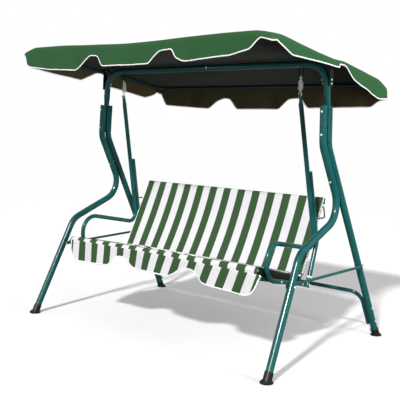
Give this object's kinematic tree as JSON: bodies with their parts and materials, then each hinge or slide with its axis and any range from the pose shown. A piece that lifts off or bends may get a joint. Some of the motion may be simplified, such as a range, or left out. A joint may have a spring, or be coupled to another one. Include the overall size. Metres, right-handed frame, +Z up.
{
  "type": "canopy_swing_bench",
  "caption": "Garden swing bench: splayed green-enamelled tube frame, sprung bench with striped green and white slings, armrests, and a tilting green canopy with scalloped valance.",
  "frame": {"origin": "floor point under the centre of the bounding box", "axes": "+X to the sitter's left (viewer's right from the front), +Y to the back of the bench, +Z up"},
  "size_m": [1.7792, 1.298, 1.5813],
  "materials": {
    "enamel": "gloss",
    "bracket": "satin",
    "cap": "matte",
    "ring": "matte",
    "zinc": "satin",
    "canopy_cloth": "woven",
    "sling_cloth": "woven"
  },
  "bodies": {
    "frame": {"front_leg_right": "enamel", "front_leg_left": "enamel", "rear_leg_right": "enamel", "rear_leg_left": "enamel", "top_bar_right": "enamel", "top_bar_left": "enamel", "side_brace_right": "enamel", "side_brace_left": "enamel", "foot_cap_front_right": "cap", "foot_cap_front_left": "cap", "foot_cap_rear_right": "cap", "foot_cap_rear_left": "cap", "bar_loop_right": "bracket", "bar_loop_left": "bracket", "canopy_bracket_right": "bracket", "canopy_bracket_left": "bracket", "top_bar_bolt": "zinc", "leg_bolts": "zinc", "brace_bolts": "zinc", "rear_stretcher": "enamel", "stretcher_bolts": "zinc", "bracket_bolts": "zinc"},
    "canopy": {"canopy_front_hoop": "enamel", "canopy_rear_hoop": "enamel", "canopy_pivot_bolts": "zinc", "canopy_cover": "canopy_cloth"},
    "suspension": {"top_hook_right": "zinc", "top_hook_left": "zinc", "spring_right": "zinc", "spring_left": "zinc"},
    "spring_foot": {"bottom_hook_right": "zinc", "bottom_hook_left": "zinc"},
    "seat": {"hanger_arm_right": "enamel", "hanger_arm_left": "enamel", "back_upright_right": "enamel", "back_upright_left": "enamel", "seat_rail_right": "enamel", "seat_rail_left": "enamel", "back_stay_right": "enamel", "back_stay_left": "enamel", "seat_front_tube": "enamel", "seat_rear_tube": "enamel", "back_frame": "enamel", "arm_bolts": "zinc", "upright_bolts": "zinc", "upright_rings": "ring", "seat_sling": "sling_cloth", "back_sling": "sling_cloth"}
  },
  "joints": [
    {"name": "canopy_tilt", "type": "hinge", "parent": "frame", "child": "canopy", "pos_m": [0, -0.036, 1.515], "axis": [1, 0, 0], "range_deg": [-15, 20]},
    {"name": "swing", "type": "hinge", "parent": "frame", "child": "suspension", "pos_m": [0, -0.036, 1.45], "axis": [1, 0, 0], "range_deg": [-20, 20]},
    {"name": "spring_bounce", "type": "slide", "parent": "suspension", "child": "spring_foot", "axis": [0, 0, 1], "range_m": [-0.03, 0.012], "stiffness_N_per_m": 30000, "deforming": ["spring_right", "spring_left"]},
    {"name": "seat_pitch", "type": "hinge", "parent": "spring_foot", "child": "seat", "pos_m": [0, -0.036, 1.35], "axis": [1, 0, 0], "range_deg": [-6, 6]}
  ]
}
